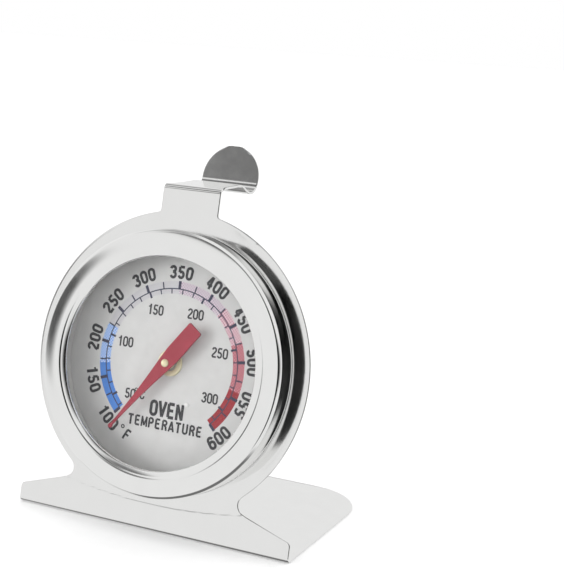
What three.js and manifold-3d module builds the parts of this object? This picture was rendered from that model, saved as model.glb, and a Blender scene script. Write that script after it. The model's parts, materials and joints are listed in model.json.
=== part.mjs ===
// Oven thermometer: a round bimetal dial gauge in a folded steel stand with a foot and a rack hook.
// Millimetres, +Z up, the dial faces -Y. The stand's plate leans back, so everything on it is built
// in a flat frame (x across, y along the dial's axis towards the back, z up the plate) and tilted.
import * as THREE from "three";
import { mergeVertices } from "three/addons/utils/BufferGeometryUtils.js";
import Module from "manifold-3d";

const wasm = await Module();
wasm.setup();

// ---------------------------------------------------------------- driving dimensions
const LEAN = THREE.MathUtils.degToRad(10.3); // the plate leans back from upright
const SHEET = 0.6; // stand's sheet thickness
const HEAD_HEIGHT = 39.2; // up the plate, from the bottom fold to the dial's centre

const DISC_RADIUS = 35;
const HOLE_RADIUS = 29.6; // the disc's hole, round the case

const BASE_HALF_WIDTH = 35.5;
const BASE_END_HEIGHT = 5.0; // height of the plate at its two ends
const BASE_CORNER = 1.2;
const SHOULDER_SLOPE = THREE.MathUtils.degToRad(17.5);
const WAIST_FILLET = 2.3;
const FOOT_DEPTH = 49;
const FOOT_CORNER = 13;
const FOOT_BEND = 1.2; // outside radius of the bottom fold

const TAB_HALF_WIDTH = 7.4;
const TAB_TOP = 79.9; // up the plate, outside of the top fold
const TAB_BEND = 1.3;
const HOOK_END_RADIUS = 7.5;
const HOOK_NECK_HALF_WIDTH = 6.1;
const HOOK_FLAT_LENGTH = 11.2; // flat stretch between the top fold and the bead
const HOOK_CENTRE = 30.4; // how far back the round end's centre lies
const BEAD_FRONT_RADIUS = 1.0;
const BEAD_RADIUS = 3.2;
const BEAD_SLOPE = THREE.MathUtils.degToRad(45);
const FLAP_SLOPE = THREE.MathUtils.degToRad(73);
const HOOK_FLAP_TOP = 86.6; // height of the flap's top over the table

const BEZEL_RADIUS = 30.65;
const BEZEL_OPENING = 24.2;
const BEZEL_FRONT = 6.15; // height of the bezel's crown in front of the disc
const BEZEL_EDGE = 5.15; // height of its skirt, up to the chamfer
const BEZEL_SHEET = 0.5;
const LENS_RADIUS = 28.8;
const LENS_THICKNESS = 1.5;
const LENS_BACK = 3.3;
const SPACER_INNER = 26.7;
const SPACER_OUTER = 28.8;
const DIAL_FRONT = -1.1; // behind the disc's front face
const DIAL_THICKNESS = 0.5;
const DIAL_RADIUS = 28.8;

const CASE_FRONT_RADIUS = 29.45;
const CASE_RADIUS = 28.8;
const CASE_BACK = -15.7;
const CASE_SHEET = 0.45;
const CASE_EDGE = 1.3; // rounding of the back edge
const CASE_RIM = 3.2; // the case's front rim, under the lens
const BEAD_OUTER = 30.6; // the case's folded bead, behind the disc
const VENT_RADIUS = 3.8;
const VENT_CIRCLE = 17.8;
const VENT_COUNT = 6;

const POINTER_TIP = 21.0;
const POINTER_TAIL = 11.1;
const POINTER_HALF_WIDTH = 2.0;
const POINTER_BACK = 1.2;
const POINTER_THICKNESS = 0.45;
const POINTER_REST = THREE.MathUtils.degToRad(-143.6); // from straight up, clockwise from the front

const BUSH_FLANGE_RADIUS = 3.1;
const BUSH_RADIUS = 1.9;
const SHAFT_RADIUS = 0.8;
const SHAFT_PLAY = 0.05;
const BARREL_RADIUS = 2.1;
const BARREL_FRONT = -4.2;
const BARREL_BACK = -9.5;
const SLOT_WIDTH = 0.55;
const COIL_THICKNESS = 0.35;
const COIL_FRONT = -5.2;
const COIL_BACK = -9.0;
const COIL_INNER = 2.75;
const COIL_OUTER = 12.0;
const COIL_TURNS = 6; // whole turns that the spiral's outer end falls short of
const ANCHOR_RIVET_RADIUS = 10.5; // from the dial's centre to the anchor's rivet
const ANCHOR_SHEET = 0.6;
const ANCHOR_WIDTH = 4;
const ANCHOR_ANGLE = THREE.MathUtils.degToRad(148.2); // from straight up, clockwise from the front
const GAP = 0.05; // clearance between pieces that rest on each other

const ROUND = 64; // segments round the large rings
const ROUND_SMALL = 24;

// ---------------------------------------------------------------- shape helpers
function solidOf(geometry) {
  const bare = geometry.index ? geometry.toNonIndexed() : geometry.clone();
  bare.deleteAttribute("normal");
  bare.deleteAttribute("uv");
  const merged = mergeVertices(bare, 1e-4);
  return new wasm.Manifold(
    new wasm.Mesh({
      numProp: 3,
      vertProperties: new Float32Array(merged.attributes.position.array),
      triVerts: new Uint32Array(merged.index.array),
    }),
  );
}

function geometryOf(solid) {
  const mesh = solid.getMesh();
  const points = new Float32Array(mesh.numVert * 3);
  for (let i = 0; i < mesh.numVert; i++) {
    points.set(mesh.vertProperties.subarray(i * mesh.numProp, i * mesh.numProp + 3), i * 3);
  }
  const geometry = new THREE.BufferGeometry();
  geometry.setAttribute("position", new THREE.BufferAttribute(points, 3));
  geometry.setIndex(new THREE.BufferAttribute(new Uint32Array(mesh.triVerts), 1));
  return geometry;
}

// A ring or disc turned round the dial's axis. The profile is a closed list of [radius, forward]
// points, forward being the distance in front of the disc's front face.
function turned(profile, segments = ROUND) {
  const points = profile.map(([radius, forward]) => new THREE.Vector2(radius, forward));
  let area = 0;
  points.forEach((p, i) => {
    const q = points[(i + 1) % points.length];
    area += p.x * q.y - q.x * p.y;
  });
  if (area < 0) points.reverse();
  points.push(points[0].clone());
  return solidOf(new THREE.LatheGeometry(points, segments)).rotate([180, 0, 0]);
}

// Points of an arc, angles in degrees from the first axis towards the second.
function arc(cx, cy, radius, from, to, steps) {
  const points = [];
  for (let i = 0; i <= steps; i++) {
    const angle = THREE.MathUtils.degToRad(from + ((to - from) * i) / steps);
    points.push([cx + radius * Math.cos(angle), cy + radius * Math.sin(angle)]);
  }
  return points;
}

function extruded(shape, length, curveSegments = 16) {
  return solidOf(
    new THREE.ExtrudeGeometry(shape, { depth: length, bevelEnabled: false, curveSegments }),
  );
}

// A flat plate from an outline drawn in x and z, between two distances in front of the disc.
function flatPlate(shape, back, front, curveSegments = 16) {
  return extruded(shape, front - back, curveSegments).rotate([90, 0, 0]).translate([0, -back, 0]);
}

// A round bar along the dial's axis, between two distances in front of the disc.
function bar(radius, back, front, segments = ROUND_SMALL) {
  const geometry = new THREE.CylinderGeometry(radius, radius, front - back, segments);
  return solidOf(geometry).translate([0, -(front + back) / 2, 0]);
}

function box(x0, x1, y0, y1, z0, z1) {
  const geometry = new THREE.BoxGeometry(x1 - x0, y1 - y0, z1 - z0);
  return solidOf(geometry).translate([(x0 + x1) / 2, (y0 + y1) / 2, (z0 + z1) / 2]);
}

function shapeOf(points) {
  return new THREE.Shape(points.map(([x, y]) => new THREE.Vector2(x, y)));
}

// The place at a radius and a clockwise angle from straight up, as the dial is read.
function onDial(radius, angle) {
  return [radius * Math.sin(angle), radius * Math.cos(angle)];
}

// ---------------------------------------------------------------- stand bracket
const leanDegrees = THREE.MathUtils.radToDeg(LEAN);

// Turns a solid from the flat frame, whose z = 0 is the bottom fold, to the leaning plate.
function leaned(solid) {
  return solid.rotate([-leanDegrees, 0, 0]);
}

// Centreline of the sheet seen from the side, as [y, z] points: along the foot from its rear edge,
// round the bottom fold, up the plate, round the top fold, along the hook, through the bead and up
// the flap.
function sheetCentreline() {
  const points = [];
  let y = FOOT_DEPTH;
  let z = SHEET / 2;
  let heading = Math.PI;
  const go = (length) => {
    y += length * Math.cos(heading);
    z += length * Math.sin(heading);
    points.push([y, z]);
  };
  // positive angles turn left, seen with y to the right and z up
  const turn = (radius, angle, steps) => {
    const side = Math.sign(angle);
    const cy = y - side * radius * Math.sin(heading);
    const cz = z + side * radius * Math.cos(heading);
    for (let i = 1; i <= steps; i++) {
      const now = heading + (angle * i) / steps;
      points.push([cy + side * radius * Math.sin(now), cz - side * radius * Math.cos(now)]);
    }
    [y, z] = points[points.length - 1];
    heading += angle;
  };
  const upPlate = Math.PI / 2 - LEAN;
  const bottomTangent = FOOT_BEND / Math.tan(upPlate / 2);
  const topTangent = TAB_BEND * Math.tan(upPlate / 2);
  points.push([y, z]);
  go(FOOT_DEPTH - bottomTangent);
  turn(FOOT_BEND - SHEET / 2, upPlate - Math.PI, 6);
  go(TAB_TOP - bottomTangent - topTangent);
  turn(TAB_BEND - SHEET / 2, -upPlate, 6);
  go(HOOK_FLAT_LENGTH);
  turn(BEAD_FRONT_RADIUS, -BEAD_SLOPE, 3);
  go(0.9);
  turn(BEAD_RADIUS, BEAD_SLOPE + FLAP_SLOPE, 9);
  go((HOOK_FLAP_TOP - z) / Math.sin(heading));
  return points;
}

// The whole sheet as a ribbon of even thickness, folded but not yet cut to its outline.
function foldedRibbon() {
  const line = sheetCentreline();
  const sides = line.map(([y, z], i) => {
    const [ya, za] = line[Math.max(i - 1, 0)];
    const [yb, zb] = line[Math.min(i + 1, line.length - 1)];
    const length = Math.hypot(yb - ya, zb - za);
    return [(-(zb - za) / length) * (SHEET / 2), ((yb - ya) / length) * (SHEET / 2)];
  });
  const left = line.map(([y, z], i) => [y + sides[i][0], z + sides[i][1]]);
  const right = line.map(([y, z], i) => [y - sides[i][0], z - sides[i][1]]);
  const width = 2 * BASE_HALF_WIDTH + 4;
  // the shape's x is the part's y and its y is the part's z
  return extruded(shapeOf([...left, ...right.reverse()]), width)
    .translate([0, 0, -width / 2])
    .rotate([90, 0, 0])
    .rotate([0, 0, 90]);
}

// Right half of the plate's outline, x against distance up the plate, from the bottom to the disc.
function plateHalfOutline() {
  const slope = THREE.MathUtils.radToDeg(SHOULDER_SLOPE);
  const cornerTop = BASE_END_HEIGHT;
  const corner = arc(BASE_HALF_WIDTH - BASE_CORNER, cornerTop - BASE_CORNER, BASE_CORNER, 0, 90 - slope, 5);
  const [shoulderX, shoulderZ] = corner[corner.length - 1];
  // The waist fillet touches the disc's circle from outside and the shoulder line from above.
  const ux = -Math.cos(SHOULDER_SLOPE);
  const uz = Math.sin(SHOULDER_SLOPE);
  const reach = DISC_RADIUS + WAIST_FILLET;
  const baseX = shoulderX + WAIST_FILLET * uz;
  const baseZ = shoulderZ - WAIST_FILLET * ux;
  const b = ux * baseX + uz * (baseZ - HEAD_HEIGHT);
  const c = baseX ** 2 + (baseZ - HEAD_HEIGHT) ** 2 - reach ** 2;
  const along = -b - Math.sqrt(b * b - c);
  const cx = baseX + ux * along;
  const cz = baseZ + uz * along;
  const toDisc = THREE.MathUtils.radToDeg(Math.atan2(HEAD_HEIGHT - cz, -cx));
  const fillet = arc(cx, cz, WAIST_FILLET, 270 - slope, toDisc, 8);
  return [[BASE_HALF_WIDTH, -2], ...corner, ...fillet];
}

function standBracket() {
  const half = plateHalfOutline();
  const [touchX, touchZ] = half[half.length - 1];
  const from = THREE.MathUtils.radToDeg(Math.atan2(touchZ - HEAD_HEIGHT, touchX));
  const discArc = arc(0, HEAD_HEIGHT, DISC_RADIUS, from, 180 - from, ROUND).slice(1, -1);
  const mirrored = half.map(([x, z]) => [-x, z]).reverse();
  const plateCut = flatPlate(shapeOf([...half, ...discArc, ...mirrored]), -1.9, 1);
  const tabCut = box(-TAB_HALF_WIDTH, TAB_HALF_WIDTH, -1, 3, HEAD_HEIGHT, TAB_TOP + 3);

  const foot = new THREE.Shape();
  foot.moveTo(-BASE_HALF_WIDTH, -1);
  foot.lineTo(BASE_HALF_WIDTH, -1);
  foot.lineTo(BASE_HALF_WIDTH, FOOT_DEPTH - FOOT_CORNER);
  foot.absarc(BASE_HALF_WIDTH - FOOT_CORNER, FOOT_DEPTH - FOOT_CORNER, FOOT_CORNER, 0, Math.PI / 2);
  foot.lineTo(FOOT_CORNER - BASE_HALF_WIDTH, FOOT_DEPTH);
  foot.absarc(FOOT_CORNER - BASE_HALF_WIDTH, FOOT_DEPTH - FOOT_CORNER, FOOT_CORNER, Math.PI / 2, Math.PI);
  const footCut = extruded(foot, 2, 8).translate([0, 0, -1]);

  const foldY = TAB_TOP * Math.sin(LEAN);
  const foldZ = TAB_TOP * Math.cos(LEAN);
  const neck = new THREE.Shape();
  const neckStart = foldY + TAB_BEND;
  neck.moveTo(-TAB_HALF_WIDTH, foldY);
  neck.lineTo(TAB_HALF_WIDTH, foldY);
  neck.lineTo(TAB_HALF_WIDTH, neckStart);
  neck.quadraticCurveTo(HOOK_NECK_HALF_WIDTH, neckStart + 1.5, HOOK_NECK_HALF_WIDTH, neckStart + 5);
  neck.lineTo(HOOK_NECK_HALF_WIDTH, HOOK_CENTRE);
  neck.lineTo(-HOOK_NECK_HALF_WIDTH, HOOK_CENTRE);
  neck.lineTo(-HOOK_NECK_HALF_WIDTH, neckStart + 5);
  neck.quadraticCurveTo(-HOOK_NECK_HALF_WIDTH, neckStart + 1.5, -TAB_HALF_WIDTH, neckStart);
  const neckCut = extruded(neck, 8, 8).translate([0, 0, foldZ - 6]);
  const endCircle = HOOK_FLAP_TOP - HOOK_END_RADIUS;
  const beadCut = solidOf(new THREE.CylinderGeometry(HOOK_END_RADIUS, HOOK_END_RADIUS, 8, 48))
    .rotate([90, 0, 0])
    .translate([0, HOOK_CENTRE, endCircle - 4]);
  const flapSideCut = box(
    -HOOK_END_RADIUS, HOOK_END_RADIUS, HOOK_CENTRE, HOOK_CENTRE + 7, endCircle - 8, endCircle,
  );
  const flapCut = solidOf(new THREE.CylinderGeometry(HOOK_END_RADIUS, HOOK_END_RADIUS, 9, 48))
    .translate([0, HOOK_CENTRE + 4.5, endCircle]);

  const outline = wasm.Manifold.union([
    leaned(wasm.Manifold.union([plateCut, tabCut])),
    footCut,
    neckCut,
    beadCut,
    flapSideCut,
    flapCut,
  ]);
  const hole = bar(HOLE_RADIUS, -3, 3, ROUND).translate([0, 0, HEAD_HEIGHT]);
  return foldedRibbon().intersect(outline).subtract(leaned(hole));
}

// ---------------------------------------------------------------- head: bezel, lens, dial, case
// The back edge is turned in: it stands on the disc and grips the case.
function bezelRing() {
  const skirtIn = BEZEL_RADIUS - BEZEL_SHEET;
  const crownRadius = 26.6;
  const lip = LENS_BACK + LENS_THICKNESS + GAP;
  const grip = CASE_FRONT_RADIUS + GAP;
  return turned([
    [grip, GAP],
    [BEZEL_RADIUS, GAP],
    [BEZEL_RADIUS, BEZEL_EDGE],
    [BEZEL_RADIUS - 0.6, BEZEL_EDGE + 0.84],
    [29.5, 6.03],
    [28.2, 6.11],
    [crownRadius, BEZEL_FRONT],
    [25.2, BEZEL_FRONT - 0.1],
    [24.5, BEZEL_FRONT - 0.3],
    [BEZEL_OPENING, BEZEL_FRONT - 0.6],
    [BEZEL_OPENING, lip],
    [BEZEL_OPENING + BEZEL_SHEET, lip],
    [BEZEL_OPENING + BEZEL_SHEET, lip + 0.55],
    [crownRadius, BEZEL_FRONT - BEZEL_SHEET],
    [28.2, 5.6],
    [29.4, 5.45],
    [skirtIn, BEZEL_EDGE - 0.2],
    [skirtIn, GAP + BEZEL_SHEET],
    [grip, GAP + BEZEL_SHEET],
  ]);
}

function windowLens() {
  const front = LENS_BACK + LENS_THICKNESS;
  return turned(
    [
      [0, LENS_BACK],
      [LENS_RADIUS, LENS_BACK],
      [LENS_RADIUS, front - 0.2],
      [LENS_RADIUS - 0.2, front],
      [0, front],
    ],
  );
}

// The wall between the dial and the lens, with a flange that spreads its load on the dial's rim.
function spacerRing() {
  const back = DIAL_FRONT + GAP;
  const front = LENS_BACK - GAP;
  return turned([
    [SPACER_INNER, back],
    [SPACER_OUTER, back],
    [SPACER_OUTER, back + 0.5],
    [SPACER_INNER + 0.5, back + 0.5],
    [SPACER_INNER + 0.5, front - 0.5],
    [SPACER_OUTER, front - 0.5],
    [SPACER_OUTER, front],
    [SPACER_INNER, front],
  ]);
}

function dialPlate() {
  const back = DIAL_FRONT - DIAL_THICKNESS;
  const [x, z] = onDial(ANCHOR_RIVET_RADIUS, ANCHOR_ANGLE);
  return bar(DIAL_RADIUS, back, DIAL_FRONT, ROUND)
    .subtract(bar(BUSH_RADIUS + GAP, back - 1, 1))
    .subtract(bar(0.45, back - 1, 1, 12).translate([x, 0, z]));
}

function rearCase() {
  const front = CASE_FRONT_RADIUS - CASE_SHEET;
  const inner = CASE_RADIUS - CASE_SHEET;
  const ledge = DIAL_FRONT - DIAL_THICKNESS - GAP;
  const edge = CASE_RADIUS - CASE_EDGE;
  const beadFront = -SHEET - GAP; // the bead bears on the back of the disc
  const cup = turned([
    [0, CASE_BACK],
    ...arc(edge, CASE_BACK + CASE_EDGE, CASE_EDGE, 270, 360, 5),
    [CASE_RADIUS, ledge - CASE_SHEET],
    [CASE_FRONT_RADIUS - 0.3, ledge - CASE_SHEET],
    [CASE_FRONT_RADIUS, ledge - CASE_SHEET + 0.3],
    [CASE_FRONT_RADIUS, beadFront - 2 * CASE_SHEET],
    [BEAD_OUTER - 0.3, beadFront - 2 * CASE_SHEET],
    [BEAD_OUTER, beadFront - 2 * CASE_SHEET + 0.3],
    [BEAD_OUTER, beadFront - 0.3],
    [BEAD_OUTER - 0.3, beadFront],
    [CASE_FRONT_RADIUS, beadFront],
    [CASE_FRONT_RADIUS, CASE_RIM],
    [front, CASE_RIM],
    [front, ledge],
    [inner, ledge],
    ...arc(edge, CASE_BACK + CASE_EDGE, CASE_EDGE - CASE_SHEET, 360, 270, 4),
    [0, CASE_BACK + CASE_SHEET],
  ]);
  const holes = [bar(VENT_RADIUS, CASE_BACK - 1, CASE_BACK + 2)];
  for (let i = 0; i < VENT_COUNT; i++) {
    const [x, z] = onDial(VENT_CIRCLE, (i * 2 * Math.PI) / VENT_COUNT);
    holes.push(holes[0].translate([x, 0, z]));
  }
  return cup.subtract(wasm.Manifold.union(holes));
}

// ---------------------------------------------------------------- movement
function bearingBush() {
  const flangeBack = DIAL_FRONT + GAP;
  const washerBack = DIAL_FRONT - DIAL_THICKNESS - GAP - 0.5;
  const bore = SHAFT_RADIUS + SHAFT_PLAY;
  return turned(
    [
      [bore, BARREL_FRONT + 0.1],
      [BUSH_RADIUS - 0.3, BARREL_FRONT + 0.1],
      [BUSH_RADIUS - 0.3, washerBack - 0.5],
      [BUSH_RADIUS + 0.4, washerBack - 0.4],
      [BUSH_RADIUS, washerBack - GAP],
      [BUSH_RADIUS, flangeBack],
      [BUSH_FLANGE_RADIUS, flangeBack],
      [BUSH_FLANGE_RADIUS, flangeBack + 0.25],
      [BUSH_FLANGE_RADIUS - 0.15, flangeBack + 0.4],
      [bore, flangeBack + 0.4],
    ],
    ROUND_SMALL,
  );
}

function ring(inner, outer, back, front, segments = ROUND_SMALL) {
  return turned([[inner, back], [outer, back], [outer, front], [inner, front]], segments);
}

const bushFace = DIAL_FRONT + GAP + 0.4;
const washerFace = bushFace + 0.3;

// Shaft with a shoulder under the pointer, a riveted tip over it and a slotted barrel at the back.
function pointerArbor() {
  const tip = POINTER_BACK + POINTER_THICKNESS;
  const shaft = turned(
    [
      [0, BARREL_BACK],
      [BARREL_RADIUS - 0.2, BARREL_BACK],
      [BARREL_RADIUS, BARREL_BACK + 0.2],
      [BARREL_RADIUS, BARREL_FRONT],
      [SHAFT_RADIUS, BARREL_FRONT],
      [SHAFT_RADIUS, washerFace + GAP],
      [1.5, washerFace + GAP],
      [1.5, POINTER_BACK - GAP],
      [0.5, POINTER_BACK - GAP],
      [0.5, tip + GAP],
      [0.85, tip + GAP],
      [0.75, tip + 0.25],
      [0.4, tip + 0.35],
      [0, tip + 0.35],
    ],
    ROUND_SMALL,
  );
  const slot = box(-SLOT_WIDTH / 2, SLOT_WIDTH / 2, -COIL_FRONT - 0.4, -BARREL_BACK + 1, -3, 3);
  return shaft.subtract(slot);
}

// Lancet pointer drawn pointing up: a small round tip, a narrow neck, and a blade that widens to
// the middle and ends in a blunt tail.
function pointerBlade() {
  const w = POINTER_HALF_WIDTH;
  const outline = new THREE.Shape();
  outline.moveTo(-0.35, 17.6);
  outline.absarc(0, POINTER_TIP - 0.55, 0.55, (225 / 180) * Math.PI, (-45 / 180) * Math.PI, true);
  outline.lineTo(0.35, 17.6);
  outline.lineTo(0.72, 10.5);
  outline.lineTo(1.2, 5.0);
  outline.lineTo(1.75, 0.0);
  outline.lineTo(w, -3.0);
  outline.lineTo(w - 0.1, 0.3 - POINTER_TAIL);
  outline.quadraticCurveTo(w - 0.15, -POINTER_TAIL, w - 0.5, -POINTER_TAIL);
  outline.lineTo(0.5 - w, -POINTER_TAIL);
  outline.quadraticCurveTo(0.15 - w, -POINTER_TAIL, 0.1 - w, 0.3 - POINTER_TAIL);
  outline.lineTo(-w, -3.0);
  outline.lineTo(-1.75, 0.0);
  outline.lineTo(-1.2, 5.0);
  outline.lineTo(-0.72, 10.5);
  const blade = flatPlate(outline, POINTER_BACK, POINTER_BACK + POINTER_THICKNESS, 8);
  return blade
    .subtract(bar(0.55, POINTER_BACK - 1, POINTER_BACK + 2, 16))
    .rotate([0, THREE.MathUtils.radToDeg(POINTER_REST), 0]);
}

// Spiral strip, wound outwards from the arbor's slot to the anchor.
function bimetalCoil() {
  const start = Math.PI / 2;
  const end = start - ANCHOR_ANGLE + COIL_TURNS * 2 * Math.PI;
  const steps = COIL_TURNS * 24;
  const line = [];
  for (let i = 0; i <= steps; i++) {
    const angle = start + ((end - start) * i) / steps;
    const radius = COIL_INNER + ((COIL_OUTER - COIL_INNER) * i) / steps;
    line.push([radius * Math.cos(angle), radius * Math.sin(angle)]);
  }
  const half = COIL_THICKNESS / 2;
  const sides = line.map((p, i) => {
    const a = line[Math.max(i - 1, 0)];
    const b = line[Math.min(i + 1, line.length - 1)];
    const length = Math.hypot(b[0] - a[0], b[1] - a[1]);
    return [(-(b[1] - a[1]) / length) * half, ((b[0] - a[0]) / length) * half];
  });
  const left = line.map((p, i) => [p[0] + sides[i][0], p[1] + sides[i][1]]);
  const right = line.map((p, i) => [p[0] - sides[i][0], p[1] - sides[i][1]]);
  const strip = flatPlate(shapeOf([...right, ...left.reverse()]), COIL_BACK, COIL_FRONT);
  // the inner end runs straight across the barrel, in its slot
  const across = box(-half, half, -COIL_FRONT, -COIL_BACK, -1.7, COIL_INNER);
  return strip.add(across);
}

// Bracket riveted to the back of the dial: a foot under the rivet and a wall that holds the coil.
function coilAnchor() {
  const back = DIAL_FRONT - DIAL_THICKNESS - GAP;
  const wall = COIL_OUTER + COIL_THICKNESS / 2 + 0.1;
  const half = ANCHOR_WIDTH / 2;
  const foot = box(-half, half, -back, -back + ANCHOR_SHEET, ANCHOR_RIVET_RADIUS - 2, wall + ANCHOR_SHEET);
  const upright = box(-half, half, -back, -COIL_BACK + 0.4, wall, wall + ANCHOR_SHEET);
  const hole = bar(0.45, back - 2, back + 1, 12).translate([0, 0, ANCHOR_RIVET_RADIUS]);
  return foot.add(upright).subtract(hole).subtract(coilRivetHole()).rotate(anchorTurn());
}

function anchorTurn() {
  return [0, THREE.MathUtils.radToDeg(ANCHOR_ANGLE), 0];
}

function anchorRivet() {
  const front = DIAL_FRONT + GAP;
  const back = DIAL_FRONT - DIAL_THICKNESS - 2 * GAP - ANCHOR_SHEET;
  return turned(
    [
      [0, back - 0.4],
      [0.6, back - 0.4],
      [0.8, back - 0.1],
      [0.8, back],
      [0.4, back],
      [0.4, front],
      [0.65, front],
      [0.5, front + 0.18],
      [0, front + 0.25],
    ],
    12,
  )
    .translate([0, 0, ANCHOR_RIVET_RADIUS])
    .rotate(anchorTurn());
}

const coilMiddle = (COIL_FRONT + COIL_BACK) / 2;

// A bar that points outwards through the coil's outer end and the anchor's wall.
function radialBar(radius, from, to) {
  const geometry = new THREE.CylinderGeometry(radius, radius, to - from, 12);
  return solidOf(geometry).rotate([90, 0, 0]).translate([0, -coilMiddle, (from + to) / 2]);
}

function coilRivetHole() {
  return radialBar(0.5, COIL_OUTER - 0.6, COIL_OUTER + 2);
}

function coilRivet() {
  const inside = COIL_OUTER - COIL_THICKNESS / 2;
  const outside = COIL_OUTER + COIL_THICKNESS / 2 + 0.1 + ANCHOR_SHEET;
  return radialBar(0.45, inside - 0.4, outside + 0.4)
    .add(radialBar(0.85, inside - 0.45, inside - 0.08))
    .add(radialBar(0.85, outside + 0.05, outside + 0.45))
    .rotate(anchorTurn());
}

// ---------------------------------------------------------------- materials and the assembly
function material(color, roughness, metalness) {
  return new THREE.MeshStandardMaterial({ color, roughness, metalness });
}

const mirrorSteel = material(0xdcdcdc, 0.12, 1);
const caseSteel = material(0xc4c3c2, 0.28, 1);
const tinnedSteel = material(0xcfcfce, 0.45, 0.6);
const printedDial = material(0xd3d3d4, 0.55, 0.3);
const clearGlass = material(0xf4f7f8, 0.03, 0);
clearGlass.transparent = true;
clearGlass.opacity = 0.2;
const redPaint = material(0xa83040, 0.4, 0);
const creamBrass = material(0xd8cfae, 0.4, 0.6);
const bimetal = material(0x8f8676, 0.4, 1);

const thermometer = new THREE.Group();
thermometer.name = "oven_thermometer";
const head = new THREE.Group();
head.rotation.x = -LEAN;
const headTurn = new THREE.Group();
headTurn.position.z = HEAD_HEIGHT;
head.add(headTurn);
thermometer.add(head);

function place(group, name, solid, look) {
  const mesh = new THREE.Mesh(geometryOf(solid), look);
  mesh.name = name;
  group.add(mesh);
}

place(thermometer, "stand_bracket", standBracket(), mirrorSteel);
place(headTurn, "bezel_ring", bezelRing(), mirrorSteel);
place(headTurn, "window_lens", windowLens(), clearGlass);
place(headTurn, "spacer_ring", spacerRing(), tinnedSteel);
place(headTurn, "dial_plate", dialPlate(), printedDial);
place(headTurn, "rear_case", rearCase(), caseSteel);
place(headTurn, "bearing_bush", bearingBush(), creamBrass);
place(
  headTurn,
  "bush_washer",
  ring(BUSH_RADIUS + GAP, 3.4, DIAL_FRONT - DIAL_THICKNESS - GAP - 0.5, DIAL_FRONT - DIAL_THICKNESS - GAP),
  caseSteel,
);
place(headTurn, "thrust_washer", ring(SHAFT_RADIUS + 0.1, 1.9, bushFace + GAP, washerFace), caseSteel);
place(headTurn, "pointer_arbor", pointerArbor(), creamBrass);
place(headTurn, "pointer", pointerBlade(), redPaint);
place(
  headTurn,
  "bimetal_coil",
  bimetalCoil().subtract(coilRivetHole().rotate(anchorTurn())),
  bimetal,
);
place(headTurn, "coil_anchor", coilAnchor(), caseSteel);
place(headTurn, "anchor_rivet", anchorRivet(), tinnedSteel);
place(headTurn, "coil_rivet", coilRivet(), creamBrass);

// The origin is the middle of the footprint.
const bounds = new THREE.Box3().setFromObject(thermometer, true);
thermometer.position.y = -(bounds.min.y + bounds.max.y) / 2;

export default thermometer;
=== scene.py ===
"""Oven thermometer: a round bimetal dial gauge in a folded stainless stand, foot and rack hook.

Every piece is worked out in millimetres in the head's own frame, which leans back with the plate:
x across, "up" the plate from the dial's centre, and "forward" out of the dial towards the reader.
"""

import json
import math

import bmesh
import bpy
import numpy as np
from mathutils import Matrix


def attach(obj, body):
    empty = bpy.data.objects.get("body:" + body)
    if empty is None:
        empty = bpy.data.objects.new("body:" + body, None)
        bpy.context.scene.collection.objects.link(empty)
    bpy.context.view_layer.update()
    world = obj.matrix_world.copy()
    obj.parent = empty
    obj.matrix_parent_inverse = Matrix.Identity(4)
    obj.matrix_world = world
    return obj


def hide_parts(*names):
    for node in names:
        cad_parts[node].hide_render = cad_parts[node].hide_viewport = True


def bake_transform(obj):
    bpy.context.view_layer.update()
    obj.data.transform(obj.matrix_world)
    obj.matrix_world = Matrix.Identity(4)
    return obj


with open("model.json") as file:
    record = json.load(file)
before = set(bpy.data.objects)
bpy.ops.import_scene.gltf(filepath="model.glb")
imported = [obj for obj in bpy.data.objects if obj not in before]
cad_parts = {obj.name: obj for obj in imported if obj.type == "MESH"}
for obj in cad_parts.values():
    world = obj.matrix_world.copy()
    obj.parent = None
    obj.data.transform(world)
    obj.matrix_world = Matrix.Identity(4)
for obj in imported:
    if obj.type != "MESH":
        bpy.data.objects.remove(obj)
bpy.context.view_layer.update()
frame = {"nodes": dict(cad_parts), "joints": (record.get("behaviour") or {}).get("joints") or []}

# ------------------------------------------------------------------ the head's frame
MM = 0.001
sweep = frame["joints"][0]
CENTRE = np.array(sweep["pos_m"])  # the dial's centre, level with the front of the stand's disc
BACKWARD = np.array(sweep["axis"])  # along the pointer's axis, into the case
ACROSS = np.array([1.0, 0.0, 0.0])
UP = np.cross(ACROSS, BACKWARD)
LEAN = math.asin(-BACKWARD[2])

# the folded sheet
SHEET = 0.6
HEAD_HEIGHT = 39.2
FOOT_DEPTH = 49.0
DISC_RADIUS = 35.0
HOLE_RADIUS = 29.6

# the head
CASE_BACK = -15.7
CASE_SHEET = 0.45
CASE_RADIUS = 28.8
CASE_FRONT_RADIUS = 29.45
BEAD_OUTER = 30.6  # the case's folded bead, which holds the disc from behind
DIAL_FACE = -1.1
LENS_BACK = 3.3
LENS_FRONT = 4.8
VENT_RADIUS = 3.8
VENT_CIRCLE = 17.8
REST_ANGLE = -143.6  # the pointer at rest, clockwise from straight up


def on_head(x, up, forward):
    """Points of the head's frame, in mm, as an array of points of the row frame, in metres."""
    x, up, forward = np.broadcast_arrays(*(np.asarray(a, float) for a in (x, up, forward)))
    place = x[..., None] * ACROSS + up[..., None] * UP - forward[..., None] * BACKWARD
    return CENTRE + place.reshape(-1, 3) * MM


def clockwise(degrees):
    """A dial angle, clockwise from straight up, as the plane angle that cos and sin take."""
    return np.radians(90.0 - np.asarray(degrees, float))


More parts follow.
